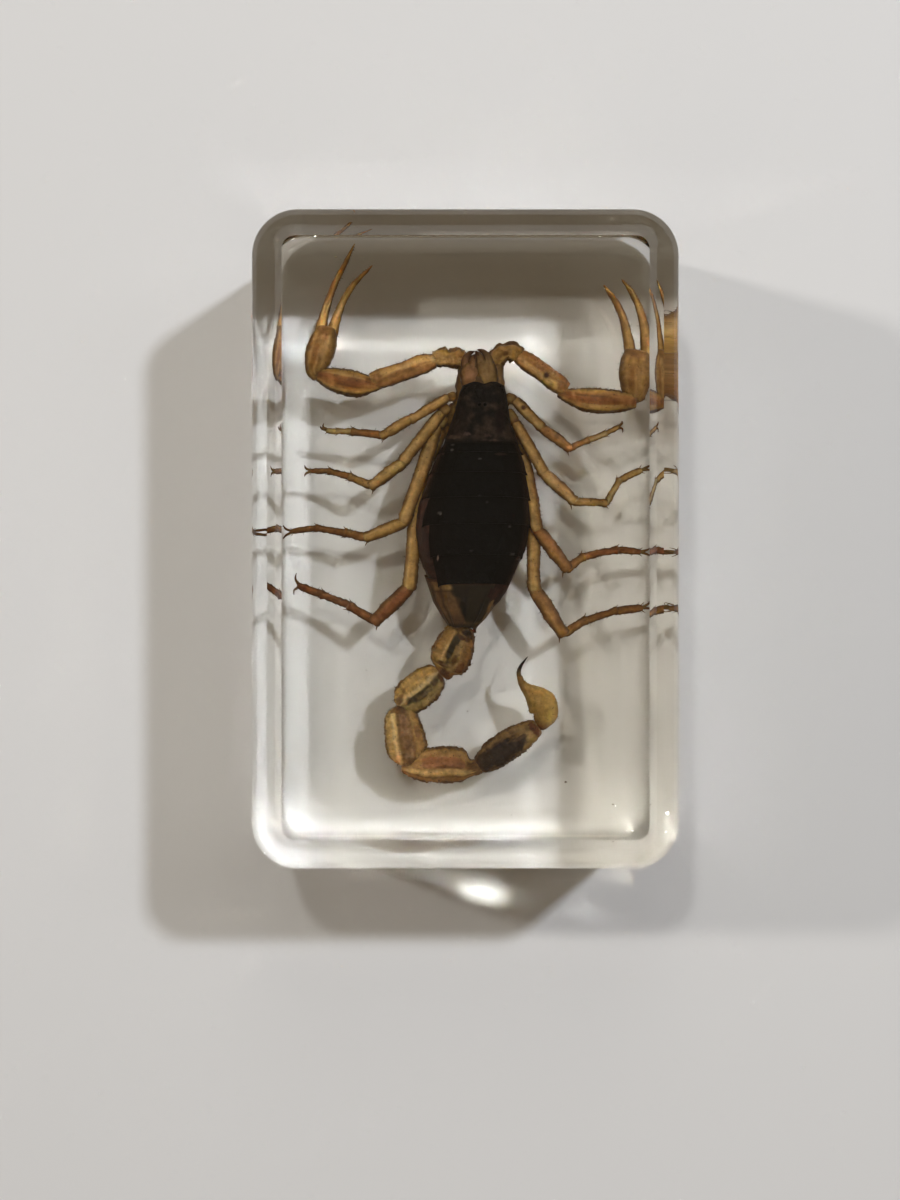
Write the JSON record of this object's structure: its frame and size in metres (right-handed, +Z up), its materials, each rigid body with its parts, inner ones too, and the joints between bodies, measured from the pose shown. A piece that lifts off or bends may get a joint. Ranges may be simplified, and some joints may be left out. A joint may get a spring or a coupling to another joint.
{
  "type": "scorpion in resin block",
  "caption": "Rounded rectangular block of clear cast resin with a dried scorpion sealed inside, seen through its bevelled top face.",
  "frame": {"origin": "on the ground base, under the middle of the block", "axes": "+Z up from the base through the top face, +Y along the longest side towards the scorpion's head, +X to its right as seen from above"},
  "size_m": [0.042, 0.0648, 0.02],
  "materials": {
    "clear_resin": "polished, water clear",
    "dried_cuticle": "satin, translucent amber to dark brown"
  },
  "bodies": {
    "root": {"resin_block": "clear_resin"}
  },
  "joints": []
}
